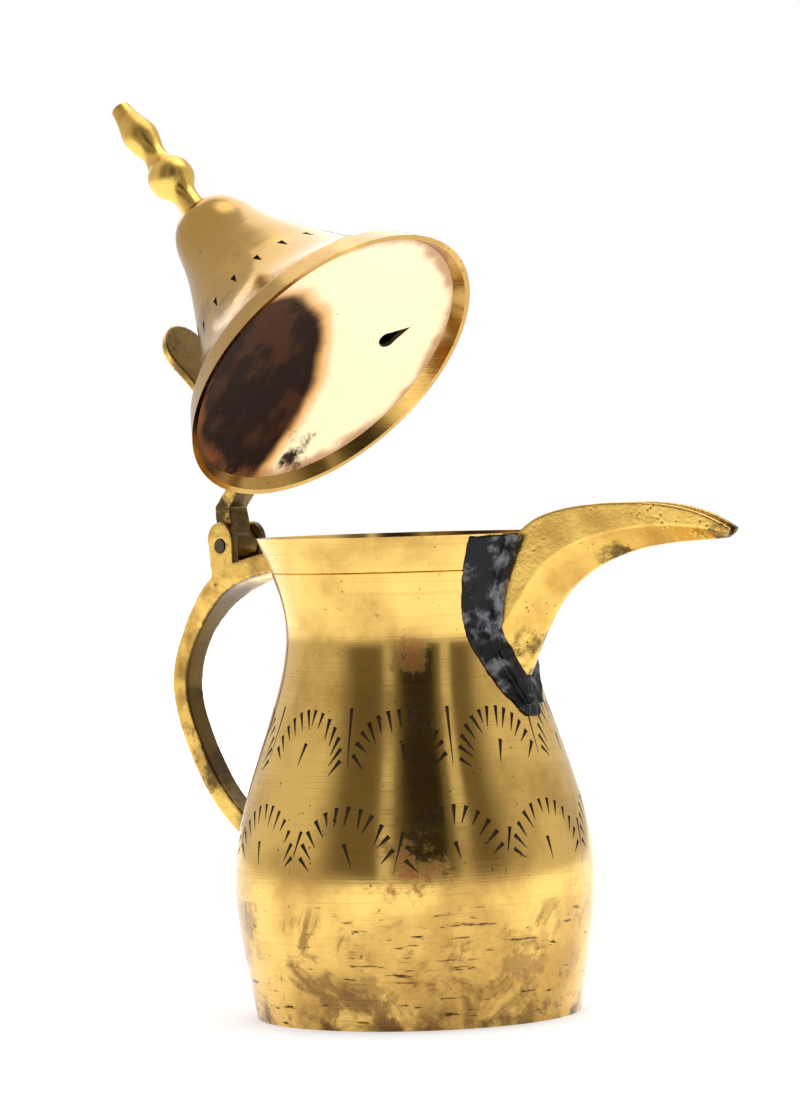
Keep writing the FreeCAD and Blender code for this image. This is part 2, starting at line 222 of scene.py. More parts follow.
def wornBelow(tree, position, colour):
    # browned low on the bowl, with short level scratches and a dark foot
    z = separate(tree, position)[2]
    low = span(tree, z, bowlWear["top"], bowlWear["full"])
    patches = span(tree, noise(tree, position, bowlWear["patchScale"], 6, 0.7, 0.6), 0.50, 0.64)
    patches = math1(tree, "MULTIPLY", math1(tree, "MULTIPLY", low, patches), bowlWear["patchStrength"])
    colour = blendColour(tree, patches, colour, brass["brown"])
    dragged = noise(tree, stretched(tree, position, *bowlWear["scratchScale"]), 1.0, 4, 0.65)
    scratches = math1(tree, "MULTIPLY", low, span(tree, dragged, 0.60, 0.68))
    colour = blendColour(tree, scratches, colour, brass["scratch"])
    foot = span(tree, noise(tree, position, bowlWear["footScale"], 5), 0.45, 0.6)
    foot = math1(tree, "MULTIPLY", span(tree, z, bowlWear["footTop"], bowlWear["footFull"]), foot)
    return blendColour(tree, foot, colour, brass["brown"])


def spunBrass(name, lineBump, dullFrom, worn=False, stainAt=()):
    material, tree, shader, position = newMaterial(name)
    clouds = noise(tree, position, brass["cloudScale"], 5)
    dullness = span(tree, clouds, dullFrom, dullFrom + brass["dullSpan"])
    colour = blendColour(tree, dullness, brass["gold"], brass["dull"])
    if worn:
        colour = wornBelow(tree, position, colour)
    colour = stained(tree, position, colour, stainAt, brass["stainStrength"], brass["brown"])[0]
    # fine level lines, then copper stains that have lost their polish
    lines = noise(tree, stretched(tree, position, *brass["lineScale"]), 1.0, 3)
    colour = blendColour(tree, span(tree, lines, 0.52, 0.72, 0.0, brass["lineTint"]), colour, brass["dull"])
    colour, unpolished = stained(tree, position, colour, brass["copperAt"],
                                 brass["copperStrength"], brass["copper"])
    specks = noise(tree, position, brass["speckScale"], 2)
    colour = blendColour(tree, span(tree, specks, *brass["speckSpan"]), colour, brass["brown"])
    tree.links.new(colour, shader.inputs["Base Color"])
    shader.inputs["Metallic"].default_value = 1.0
    rough = math1(tree, "ADD", span(tree, clouds, 0.3, 0.8, *brass["roughness"]),
                  span(tree, lines, 0.4, 0.8, 0.0, brass["lineRoughness"]))
    rough = math1(tree, "ADD", rough, math1(tree, "MULTIPLY", unpolished, brass["copperRoughness"]))
    tree.links.new(rough, shader.inputs["Roughness"])
    height = math1(tree, "ADD", math1(tree, "MULTIPLY", lines, lineBump),
                   math1(tree, "MULTIPLY", specks, brass["speckBump"]))
    bumped(tree, shader, height, brass["bump"])
    return material


# the liner under the lid: cream on one side, and on the other a painted dark reflection with some tarnish

liner = {
    "cream": (0.97, 0.80, 0.50),
    "dark": (0.026, 0.011, 0.006),
    "red": (0.34, 0.12, 0.04),
    "fringe": (0.72, 0.38, 0.12),
    # painted dark reflection with some tarnish: its centre, reach and edge
    "reflectTarnishCentre": (-0.0317, -0.0240, 0.1227),
    "reflectTarnishReach": 0.0295,
    "reflectTarnishEdge": (0.001, 0.002),     # past its reach and short of it
    "fringeWidth": 0.004,
    "redScale": 70,
    "redStrength": 0.14,
    "middle": (-0.0199, 0.0, 0.1310),
    # painted shade and browning along the rim: its width and strength
    "rimWidth": 0.0030,
    "rimStrength": 0.75,
    "edgeWander": 0.0012,
    "speckScale": 800,
    "roughness": (0.30, 0.42),
    "sheen": 0.02,
    "bump": 0.00003,
    "blots": (((-0.0395, -0.0060, 0.1105), 0.0060), ((-0.0375, 0.0080, 0.1125), 0.0055)),
}


def linerBrass():
    material, tree, shader, position = newMaterial("linerBrass")
    wander = liner["edgeWander"]
    # the painted dark reflection, with some tarnish, is a round patch that reaches in from one side
    away = math1(tree, "ADD", vecMath(tree, "DISTANCE", position, liner["reflectTarnishCentre"]),
                 span(tree, noise(tree, position, 60, 4), 0.2, 0.8, -wander, wander))
    reach = liner["reflectTarnishReach"]
    past, short = liner["reflectTarnishEdge"]
    dark = span(tree, away, reach + past, reach - short)
    fringe = span(tree, away, reach + liner["fringeWidth"], reach)
    colour = blendColour(tree, fringe, liner["cream"], liner["fringe"])
    colour = blendColour(tree, dark, colour, liner["dark"])
    red = math1(tree, "MULTIPLY", dark, span(tree, noise(tree, position, liner["redScale"], 3), 0.5, 0.62))
    colour = blendColour(tree, math1(tree, "MULTIPLY", red, liner["redStrength"]), colour, liner["red"])
    # painted shade and browning along the rim
    outer = math1(tree, "ADD", vecMath(tree, "DISTANCE", position, liner["middle"]),
                  span(tree, noise(tree, position, 120, 4), 0.25, 0.75, -wander, wander))
    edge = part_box("lid_liner")[1].y
    rim = span(tree, outer, edge - liner["rimWidth"], edge, 0.0, liner["rimStrength"])
    colour = blendColour(tree, rim, colour, liner["red"])
    colour = stained(tree, position, colour, liner["blots"], 1.0, liner["dark"])[0]
    specks = noise(tree, position, liner["speckScale"], 3)
    colour = blendColour(tree, span(tree, specks, *brass["speckSpan"]), colour, brass["brown"])
    tree.links.new(colour, shader.inputs["Base Color"])
    # the painted dark patch is given no metal, so it loses its shine
    tree.links.new(span(tree, dark, 0.0, 1.0, 1.0, 0.0), shader.inputs["Metallic"])
    shader.inputs["Specular IOR Level"].default_value = liner["sheen"]
    tree.links.new(span(tree, dark, 0.0, 1.0, *liner["roughness"]), shader.inputs["Roughness"])
    bumped(tree, shader, specks, liner["bump"])
    return material


# cast brass, with pits and inner faces that the pieces carry as attributes

castLook = {
    "bright": (0.86, 0.565, 0.14),
    "dull": (0.58, 0.335, 0.078),
    "pit": (0.02, 0.012, 0.008),
    "grime": (0.07, 0.042, 0.018),
    "cloudScale": 110,
    "grimeScale": 75,
    "grimeSpan": (0.72, 0.84),
    "dirtStrength": 0.9,
    "roughness": (0.24, 0.42),
    "bumpScale": 1400,
    "bump": 0.00005,
    "spoutDirt": (((0.0715, 0.0150, 0.0945), 0.0055), ((0.0310, 0.0035, 0.0700), 0.0060),
                  ((0.050, 0.0085, 0.0895), 0.0045)),
    "handleDirt": (((-0.0475, 0.0040, 0.0930), 0.0070), ((-0.0560, 0.0, 0.0480), 0.0080),
                   ((-0.0400, 0.0, 0.0350), 0.0080)),
    "strapDirt": (((-0.0470, 0.0, 0.0960), 0.0130), ((-0.0570, 0.0, 0.1080), 0.0120),
                  ((-0.0690, 0.0, 0.1290), 0.0070)),
}


def castBrass(name, grimeShare, dirtAt=(), innerShade=0.0):
    material, tree, shader, position = newMaterial(name)
    clouds = noise(tree, position, castLook["cloudScale"], 5)
    colour = blendColour(tree, span(tree, clouds, 0.4, 0.75), castLook["bright"], castLook["dull"])
    low, high = castLook["grimeSpan"]
    patches = noise(tree, position, castLook["grimeScale"], 5, 0.65)
    grimy = span(tree, patches, low - grimeShare, high - grimeShare)
    colour = blendColour(tree, grimy, colour, castLook["grime"])
    colour = stained(tree, position, colour, dirtAt, castLook["dirtStrength"], castLook["grime"])[0]
    if innerShade:
        # faces turned to the pot are darkened with the grime colour as painted shade
        inward = addNode(tree, "ShaderNodeAttribute", attribute_name="inward").outputs["Fac"]
        inward = math1(tree, "ADD", inward, span(tree, clouds, 0.3, 0.7, -0.25, 0.25))
        colour = blendColour(tree, span(tree, inward, 0.05, 0.5, 0.0, innerShade), colour, castLook["grime"])
    pit = addNode(tree, "ShaderNodeAttribute", attribute_name="pit").outputs["Fac"]
    colour = blendColour(tree, span(tree, pit, 0.25, 0.6), colour, castLook["pit"])
    tree.links.new(colour, shader.inputs["Base Color"])
    shader.inputs["Metallic"].default_value = 1.0
    tree.links.new(span(tree, clouds, 0.3, 0.8, *castLook["roughness"]), shader.inputs["Roughness"])
    bumped(tree, shader, noise(tree, position, castLook["bumpScale"], 3), castLook["bump"])
    return material


solderLook = {
    "black": (0.012, 0.012, 0.015),
    "grey": (0.22, 0.225, 0.24),
    "cloudScale": 190,
    "metallic": 0.75,
    "roughness": (0.34, 0.55),
    "bumpScale": 700,
    "bump": 0.0001,
}


def leadSolder():
    material, tree, shader, position = newMaterial("leadSolder")
    clouds = noise(tree, position, solderLook["cloudScale"], 5, 0.6)
    colour = blendColour(tree, span(tree, clouds, 0.50, 0.68), solderLook["black"], solderLook["grey"])
    tree.links.new(colour, shader.inputs["Base Color"])
    shader.inputs["Metallic"].default_value = solderLook["metallic"]
    tree.links.new(span(tree, clouds, 0.3, 0.7, *solderLook["roughness"]), shader.inputs["Roughness"])
    bumped(tree, shader, noise(tree, position, solderLook["bumpScale"], 4), solderLook["bump"])
    return material


steelLook = {
    "dark": (0.03, 0.022, 0.018),
    "worn": (0.16, 0.12, 0.09),
    "cloudScale": 500,
    "metallic": 0.9,
    "roughness": (0.35, 0.6),
    "bump": 0.00005,
}


def darkSteel():
    material, tree, shader, position = newMaterial("darkSteel")
    clouds = noise(tree, position, steelLook["cloudScale"], 4)
    colour = blendColour(tree, clouds, steelLook["dark"], steelLook["worn"])
    tree.links.new(colour, shader.inputs["Base Color"])
    shader.inputs["Metallic"].default_value = steelLook["metallic"]
    tree.links.new(span(tree, clouds, 0.3, 0.7, *steelLook["roughness"]), shader.inputs["Roughness"])
    bumped(tree, shader, clouds, steelLook["bump"])
    return material


# the dark filling of the chisel strokes

fillLook = {
    "black": (0.012, 0.007, 0.004),
    "brown": (0.09, 0.05, 0.018),
    "cloudScale": 600,
    "metallic": 0.5,
    "roughness": 0.6,
    "bump": 0.00004,
}


def strokeGrime():
    material, tree, shader, position = newMaterial("strokeGrime")
    clouds = noise(tree, position, fillLook["cloudScale"], 3)
    colour = blendColour(tree, clouds, fillLook["black"], fillLook["brown"])
    tree.links.new(colour, shader.inputs["Base Color"])
    shader.inputs["Metallic"].default_value = fillLook["metallic"]
    shader.inputs["Roughness"].default_value = fillLook["roughness"]
    bumped(tree, shader, clouds, fillLook["bump"])
    return material


shellBrass = spunBrass("shellBrass", lineBump=0.7, dullFrom=0.38)
bowlBrass = spunBrass("bowlBrass", lineBump=0.9, dullFrom=0.36, worn=True, stainAt=bowlWear["stainAt"])
lidMetal = spunBrass("lidMetal", lineBump=0.6, dullFrom=0.16, stainAt=lidStains)
linerMetal = linerBrass()
spoutBrass = castBrass("spoutBrass", grimeShare=0.07, dirtAt=castLook["spoutDirt"])
# the handle and the strap get painted shade on their inner faces
handleBrass = castBrass("handleBrass", grimeShare=0.13, dirtAt=castLook["handleDirt"], innerShade=0.92)
strapBrass = castBrass("strapBrass", grimeShare=0.16, dirtAt=castLook["strapDirt"], innerShade=0.85)
finialBrass = castBrass("finialBrass", grimeShare=0.10)
solder = leadSolder()
steel = darkSteel()
grime = strokeGrime()
print("materials made")


def newObject(name, mesh):
    obj = bpy.data.objects.new(name, mesh)
    bpy.context.scene.collection.objects.link(obj)
    return obj


def settled(obj):
    # the evaluated mesh becomes the object's own, and the modifiers go
    graph = bpy.context.evaluated_depsgraph_get()
    shown = obj.evaluated_get(graph)
    mesh = bpy.data.meshes.new_from_object(shown, preserve_all_data_layers=True, depsgraph=graph)
    obj.modifiers.clear()
    obj.data = mesh
    return obj


def smoothed(obj, angle=35):
    obj.data.shade_smooth()
    obj.data.set_sharp_from_angle(angle=math.radians(angle))


def runTree(obj, tree, values):
    modifier = obj.modifiers.new(tree.name, "NODES")
    modifier.node_group = tree
    for item in tree.interface.items_tree:
        if item.item_type == "SOCKET" and item.in_out == "INPUT" and item.name in values:
            modifier[item.identifier] = values[item.name]
    return settled(obj)


def treeWith(name, sockets):
    tree = bpy.data.node_groups.new(name, "GeometryNodeTree")
    tree.interface.new_socket("Geometry", in_out="INPUT", socket_type="NodeSocketGeometry")
    for label, kind in sockets:
        tree.interface.new_socket(label, in_out="INPUT", socket_type="NodeSocket" + kind)
    tree.interface.new_socket("Geometry", in_out="OUTPUT", socket_type="NodeSocketGeometry")
    inputs = addNode(tree, "NodeGroupInput").outputs
    output = addNode(tree, "NodeGroupOutput").inputs[0]
    return tree, inputs, output


# chisel marks: a fan of tapered strokes, repeated round a turned surface

chisel = {
    "sides": 6,
    "headRadius": 0.5,     # shares of a stroke's width
    "tipRadius": 0.08,
    "fanTilt": 0.22,       # most that a fan or a stroke leans, in radians
    "strokeLean": 0.25,
    "shorter": 0.3,        # most that a stroke's length changes, as shares of it
    "longer": 0.25,
    "arcPoints": 48,
    "rayLength": 0.06,
    "firstSeed": 3,
}


def strayed(tree, inputs, middle, below, above, seedStep):
    # a random value about a middle, as far off as Wander lets it go
    node = addNode(tree, "FunctionNodeRandomValue", data_type="FLOAT")
    wander = inputs["Wander"]
    feed(tree, node.inputs[2], math1(tree, "SUBTRACT", middle, math1(tree, "MULTIPLY", wander, below)))
    feed(tree, node.inputs[3], math1(tree, "ADD", middle, math1(tree, "MULTIPLY", wander, above)))
    feed(tree, node.inputs["Seed"], math1(tree, "ADD", inputs["Seed"], seedStep))
    return node.outputs[1]


def chiselTree():
    tree, inputs, output = treeWith("chiselMarks", (
        ("Repeats", "Int"), ("Strokes", "Int"), ("Fan Radius", "Float"), ("Start Angle", "Float"),
        ("Sweep", "Float"), ("Spread", "Float"), ("Length", "Float"), ("Width", "Float"), ("Height", "Float"),
        ("First Angle", "Float"), ("Mean Radius", "Float"), ("Wander", "Float"), ("Seed", "Int"),
        ("Surface", "Object"), ("Material", "Material")))
    arc = addNode(tree, "GeometryNodeCurveArc", mode="RADIUS")
    arc.inputs["Resolution"].default_value = chisel["arcPoints"]
    feed(tree, arc.inputs["Radius"], inputs["Fan Radius"])
    feed(tree, arc.inputs["Start Angle"], inputs["Start Angle"])
    feed(tree, arc.inputs["Sweep Angle"], inputs["Sweep"])
    spots = addNode(tree, "GeometryNodeCurveToPoints", mode="COUNT")
    feed(tree, spots.inputs["Curve"], arc.outputs["Curve"])
    feed(tree, spots.inputs["Count"], inputs["Strokes"])
    # one fan at each place along a flat band as long as the way round
    band = addNode(tree, "GeometryNodeMeshLine", mode="OFFSET")
    feed(tree, band.inputs["Count"], inputs["Repeats"])
    around = math1(tree, "MULTIPLY", inputs["Mean Radius"], 2 * math.pi)
    stride = math1(tree, "DIVIDE", around, inputs["Repeats"])
    feed(tree, band.inputs["Offset"], combine(tree, stride, 0.0, 0.0))
    fans = addNode(tree, "GeometryNodeInstanceOnPoints")
    feed(tree, fans.inputs["Points"], band.outputs["Mesh"])
    tilt = strayed(tree, inputs, 0.0, chisel["fanTilt"], chisel["fanTilt"], 21.0)
    feed(tree, fans.inputs["Rotation"], combine(tree, 0.0, 0.0, tilt))
    # each point of the arc keeps the way it faces before the fans are spread
    place = separate(tree, addNode(tree, "GeometryNodeInputPosition").outputs[0])
    facing = addNode(tree, "GeometryNodeStoreNamedAttribute", data_type="FLOAT", domain="POINT")
    feed(tree, facing.inputs["Geometry"], spots.outputs["Points"])
    facing.inputs["Name"].default_value = "facing"
    feed(tree, facing.inputs["Value"], math1(tree, "ARCTAN2", place[1], place[0]))
    feed(tree, fans.inputs["Instance"], facing.outputs["Geometry"])
    apart = addNode(tree, "GeometryNodeRealizeInstances")
    feed(tree, apart.inputs["Geometry"], fans.outputs["Instances"])
    # a tapered chisel stroke, wide at its head, lying along the band
    stroke = addNode(tree, "GeometryNodeMeshCone")
    stroke.inputs["Vertices"].default_value = chisel["sides"]
    feed(tree, stroke.inputs["Radius Bottom"], math1(tree, "MULTIPLY", inputs["Width"], chisel["headRadius"]))
    feed(tree, stroke.inputs["Radius Top"], math1(tree, "MULTIPLY", inputs["Width"], chisel["tipRadius"]))
    feed(tree, stroke.inputs["Depth"], inputs["Length"])
    laid = addNode(tree, "GeometryNodeTransform")
    feed(tree, laid.inputs["Geometry"], stroke.outputs["Mesh"])
    laid.inputs["Rotation"].default_value = Euler((-math.pi / 2, 0, 0))
    marks = addNode(tree, "GeometryNodeInstanceOnPoints")
    feed(tree, marks.inputs["Points"], apart.outputs["Geometry"])
    feed(tree, marks.inputs["Instance"], laid.outputs["Geometry"])
    turn = addNode(tree, "GeometryNodeInputNamedAttribute", data_type="FLOAT")
    turn.inputs["Name"].default_value = "facing"
    sway = strayed(tree, inputs, 0.0, chisel["strokeLean"], chisel["strokeLean"], 0.0)
    # Spread 1 points every stroke at the middle of its fan, 0 hangs them all straight down
    fromTop = math1(tree, "SUBTRACT", turn.outputs["Attribute"], math.pi / 2)
    lean = math1(tree, "MULTIPLY", fromTop, inputs["Spread"])
    angle = math1(tree, "ADD", math1(tree, "ADD", lean, math.pi), sway)
    feed(tree, marks.inputs["Rotation"], combine(tree, 0.0, 0.0, angle))
    size = strayed(tree, inputs, 1.0, chisel["shorter"], chisel["longer"], 7.0)
    feed(tree, marks.inputs["Scale"], combine(tree, 1.0, size, 1.0))
    flat = addNode(tree, "GeometryNodeRealizeInstances")
    feed(tree, flat.inputs["Geometry"], marks.outputs["Instances"])
    # wrap the flat band onto the turned surface, along rays towards its axis
    spot = addNode(tree, "GeometryNodeInputPosition").outputs[0]
    along, upward, depth = separate(tree, spot)
    bearing = math1(tree, "DIVIDE", along, inputs["Mean Radius"])
    bearing = math1(tree, "ADD", bearing, inputs["First Angle"])
    outward = combine(tree, math1(tree, "COSINE", bearing), math1(tree, "SINE", bearing), 0.0)
    level = combine(tree, 0.0, 0.0, math1(tree, "ADD", upward, inputs["Height"]))
    start = vecMath(tree, "ADD", vecMath(tree, "SCALE", outward, scale=chisel["rayLength"]), level)
    surface = addNode(tree, "GeometryNodeObjectInfo")
    feed(tree, surface.inputs["Object"], inputs["Surface"])
    ray = addNode(tree, "GeometryNodeRaycast", data_type="FLOAT")
    feed(tree, ray.inputs["Target Geometry"], surface.outputs["Geometry"])
    feed(tree, ray.inputs["Source Position"], start)
    feed(tree, ray.inputs["Ray Direction"], vecMath(tree, "SCALE", outward, scale=-1.0))
    ray.inputs["Ray Length"].default_value = chisel["rayLength"]
    landed = vecMath(tree, "ADD", ray.outputs["Hit Position"],
                     vecMath(tree, "SCALE", ray.outputs["Hit Normal"], scale=depth))
    wrapped = addNode(tree, "GeometryNodeSetPosition")
    feed(tree, wrapped.inputs["Geometry"], flat.outputs["Geometry"])
    feed(tree, wrapped.inputs["Position"], landed)
    painted = addNode(tree, "GeometryNodeSetMaterial")
    feed(tree, painted.inputs["Geometry"], wrapped.outputs["Geometry"])
    feed(tree, painted.inputs["Material"], inputs["Material"])
    tree.links.new(painted.outputs["Geometry"], output)
    return tree


chiselMarks = chiselTree()


def cutBy(obj, cutter, leastKept=0.9):
    before = len(obj.data.polygons)
    cut = obj.modifiers.new("cut", "BOOLEAN")
    cut.operation = "DIFFERENCE"
    cut.solver = "MANIFOLD"
    cut.material_mode = "TRANSFER"
    cut.object = cutter
    settled(obj)
    bpy.data.objects.remove(cutter)
    # strokes that cross can make a cut fail, which must not go unseen
    if len(obj.data.polygons) < leastKept * before:
        raise RuntimeError("the cut into " + obj.name + " lost its surface")


def cutMarks(obj, rows):
    # all rows of marks are laid on the surface first, then cut at once
    joined = bmesh.new()
    for index, row in enumerate(rows):
        cutter = newObject("cutter", bpy.data.meshes.new("cutter"))
        values = dict(row)
        for key in ("Start Angle", "Sweep", "First Angle"):
            values[key] = math.radians(row[key])
        values.update({"Surface": obj, "Material": grime, "Seed": chisel["firstSeed"] + index})
        runTree(cutter, chiselMarks, values)
        joined.from_mesh(cutter.data)
        bpy.data.objects.remove(cutter)
    mesh = bpy.data.meshes.new("cutter")
    joined.to_mesh(mesh)
    joined.free()
    mesh.materials.append(grime)
    cutBy(obj, newObject("cutter", mesh))


def cutAway(obj, corners, depth):
    # a straight prism through the wall: its outline, and the way it goes
    shape = bmesh.new()
    face = shape.faces.new([shape.verts.new(corner) for corner in corners])
    pushed = bmesh.ops.extrude_face_region(shape, geom=[face])
    moved = [item for item in pushed["geom"] if isinstance(item, bmesh.types.BMVert)]
    bmesh.ops.translate(shape, verts=moved, vec=depth)
    bmesh.ops.recalc_face_normals(shape, faces=shape.faces)
    mesh = bpy.data.meshes.new("cutter")
    shape.to_mesh(mesh)
    shape.free()
    cutBy(obj, newObject("cutter", mesh))


# turned pieces take their profile from the CAD node, at even steps round the axis

def profileOf(node, pose, heights, probeAngle, outer, probeReach=0.08):
    tree = BVHTree.FromPolygons([v.co for v in nodes[node].data.vertices],
                                [p.vertices for p in nodes[node].data.polygons])
    outward = Vector((math.cos(probeAngle), math.sin(probeAngle), 0))
    found = []
    for height in heights:
        foot = Vector((0, 0, height))
        start = foot + outward * probeReach if outer else foot
        way = -outward if outer else outward
        hit = tree.ray_cast(pose @ start, (pose.to_3x3() @ way).normalized())[0]
        if hit is not None:
            local = pose.inverted() @ hit
            found.append((math.hypot(local.x, local.y), height))
    return found


def lathe(name, profile, segments):
    # a closed ring profile turned round Z
    mesh = bpy.data.meshes.new(name)
    count = len(profile)
    points = []
    for step in range(segments):
        angle = 2 * math.pi * step / segments
        points += [(r * math.cos(angle), r * math.sin(angle), z) for r, z in profile]
    faces = []
    for step in range(segments):
        here, there = step * count, (step + 1) % segments * count
        for row in range(count):
            follow = (row + 1) % count
            faces.append((here + row, there + row, there + follow, here + follow))
    mesh.from_pydata(points, [], faces)
    return newObject(name, mesh)


def steps(low, high, count):
    return [low + (high - low) * i / (count - 1) for i in range(count)]


# the chased upper shell, with the incised line under its rim; marks are in metres, the rest in mm

upperRow = {"Repeats": 9, "Mean Radius": 0.0300}
lowerRow = {"Repeats": 10, "Mean Radius": 0.0345}
arch = {"Start Angle": 4, "Sweep": 172, "Spread": 0.55}
oneStroke = {"Strokes": 1, "Sweep": 1, "Spread": 1.0}
shell = {
    "segments": 288,
    "rows": 72,
    "innerRows": 40,
    "edge": 0.05,
    "probeAngle": -90,     # looks between the handle and the spout
    "groove": 88.7,
    "grooveDepth": 0.22,
    "grooveWidth": 0.35,
    "spoutTurn": 11.8,
    "slotDepth": 22.0,
    "slotHalf": 4.4,
    "slotFootHalf": 1.6,
    "slotFrom": 10.0,
    "slotReach": 40.0,
    "slotAbove": 1.0,
    "marks": (
        # upper and lower arches
        {**upperRow, **arch, "Strokes": 13, "Fan Radius": 0.0092, "Length": 0.0036,
         "Width": 0.00095, "Height": 0.0530, "First Angle": -92, "Wander": 0.9},
        {**lowerRow, **arch, "Strokes": 12, "Fan Radius": 0.0098, "Length": 0.0035,
         "Width": 0.00095, "Height": 0.0340, "First Angle": -70, "Wander": 0.9},
        # lone strokes inside the arches
        {**upperRow, **oneStroke, "Fan Radius": 0.0022, "Start Angle": 75, "Length": 0.0040,
         "Width": 0.00090, "Height": 0.0535, "First Angle": -92, "Wander": 1.0},
        {**lowerRow, **oneStroke, "Fan Radius": 0.0022, "Start Angle": 105, "Length": 0.0044,
         "Width": 0.00090, "Height": 0.0345, "First Angle": -70, "Wander": 1.0},
        # long strokes between the arches
        {**upperRow, **oneStroke, "Fan Radius": 0.0040, "Start Angle": 90, "Length": 0.0105,
         "Width": 0.00080, "Height": 0.0585, "First Angle": -72, "Wander": 0.3},
        {**lowerRow, **oneStroke, "Fan Radius": 0.0040, "Start Angle": 78, "Length": 0.0090,
         "Width": 0.00080, "Height": 0.0350, "First Angle": -52, "Wander": 0.3},
    ),
}


def cutSlot(obj, top):
    # the pouring slot behind the spout, narrower at its foot
    turn = Matrix.Rotation(math.radians(shell["spoutTurn"]), 3, "Z")
    start, foot, over = shell["slotFrom"] * mm, top - shell["slotDepth"] * mm, top + shell["slotAbove"] * mm
    wide, narrow = shell["slotHalf"] * mm, shell["slotFootHalf"] * mm
    outline = [(start, -narrow, foot), (start, narrow, foot), (start, wide, over), (start, -wide, over)]
    cutAway(obj, [turn @ Vector(p) for p in outline], turn @ Vector((shell["slotReach"] * mm, 0, 0)))


def makeShell():
    low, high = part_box("upper_shell")
    bottom, top = low.z, high.z
    edge = shell["edge"] * mm
    probe = math.radians(shell["probeAngle"])
    groove = shell["groove"] * mm
    half = shell["grooveWidth"] * mm / 2
    heights = steps(bottom + edge, top - edge, shell["rows"])
    heights = sorted([z for z in heights if abs(z - groove) > half] + [groove - half, groove, groove + half])
    outer = profileOf("upper_shell", Matrix(), heights, probe, True)
    outer = [(r - (shell["grooveDepth"] * mm if abs(z - groove) < half / 2 else 0), z) for r, z in outer]
    outer = [(outer[0][0], bottom)] + outer[1:-1] + [(outer[-1][0], top)]
    heights = steps(bottom + edge, top - edge, shell["innerRows"])
    inner = profileOf("upper_shell", Matrix(), heights, probe, False)
    inner = [(inner[0][0], bottom)] + inner[1:-1] + [(inner[-1][0], top)]
    obj = lathe("chased_shell", outer + inner[::-1], shell["segments"])
    obj.data.materials.append(shellBrass)
    cutSlot(obj, top)
    cutMarks(obj, shell["marks"])
    smoothed(obj)
    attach(obj, "pot")
    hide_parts("upper_shell")
    print("chased shell", len(obj.data.polygons), "faces")


makeShell()


# the lid, turned about its own axis and then stood open

lid = {
    "openAngle": 48.5,
    "setBack": 1.5,
    "rimHeight": 96.2,
    "topHeight": 50.2,
    "roof": 1.2,
    "tenonHole": 1.7,
    "bandHeight": 5.2,
    "bandEdge": 0.15,
    "edge": 0.03,
    "topEdge": 0.06,
    "probeAngle": -60,
    "segments": 240,
    "rows": 64,
    "innerRows": 60,
    "marks": (
        {**oneStroke, "Repeats": 20, "Mean Radius": 0.0202, "Fan Radius": 0.0004, "Start Angle": 90,
         "Length": 0.0026, "Width": 0.0014, "Height": 0.0195, "First Angle": -50, "Wander": 0.5},
    ),
}


def makeLid():
    pin = Vector(hinge["pos_m"])
    turn = Matrix.Rotation(math.radians(lid["openAngle"]), 4, Vector((0, -1, 0)))
    shut = Matrix.Translation((-lid["setBack"] * mm, 0, lid["rimHeight"] * mm))
    pose = Matrix.Translation(pin) @ turn @ Matrix.Translation(-pin) @ shut
    edge = lid["edge"] * mm
    band, bandEdge = lid["bandHeight"] * mm, lid["bandEdge"] * mm
    top, hole = lid["topHeight"] * mm, lid["tenonHole"] * mm
    probe = math.radians(lid["probeAngle"])
    heights = steps(edge, top - lid["topEdge"] * mm, lid["rows"])
    heights = sorted(heights + [band - bandEdge, band, band + bandEdge])
    outer = profileOf("lid_bell", pose, heights, probe, True)
    inner = profileOf("lid_bell", pose, steps(edge, top - lid["roof"] * mm, lid["innerRows"]), probe, False)
    outer = [(outer[0][0], 0.0)] + outer[1:] + [(hole, top)]
    inner = [(inner[0][0], 0.0)] + inner[1:] + [(hole, inner[-1][1])]
    obj = lathe("chased_lid", outer + inner[::-1], lid["segments"])
    obj.data.materials.append(lidMetal)
    cutMarks(obj, lid["marks"])
    obj.data.transform(pose)
    smoothed(obj)
    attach(obj, "lid")
    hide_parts("lid_bell")
    print("chased lid", len(obj.data.polygons), "faces")


makeLid()


# cast and soldered pieces: remeshed from the CAD, then pitted and lumped

pitPatches = {
    "scale": 130,
    "edge": 0.12,
}


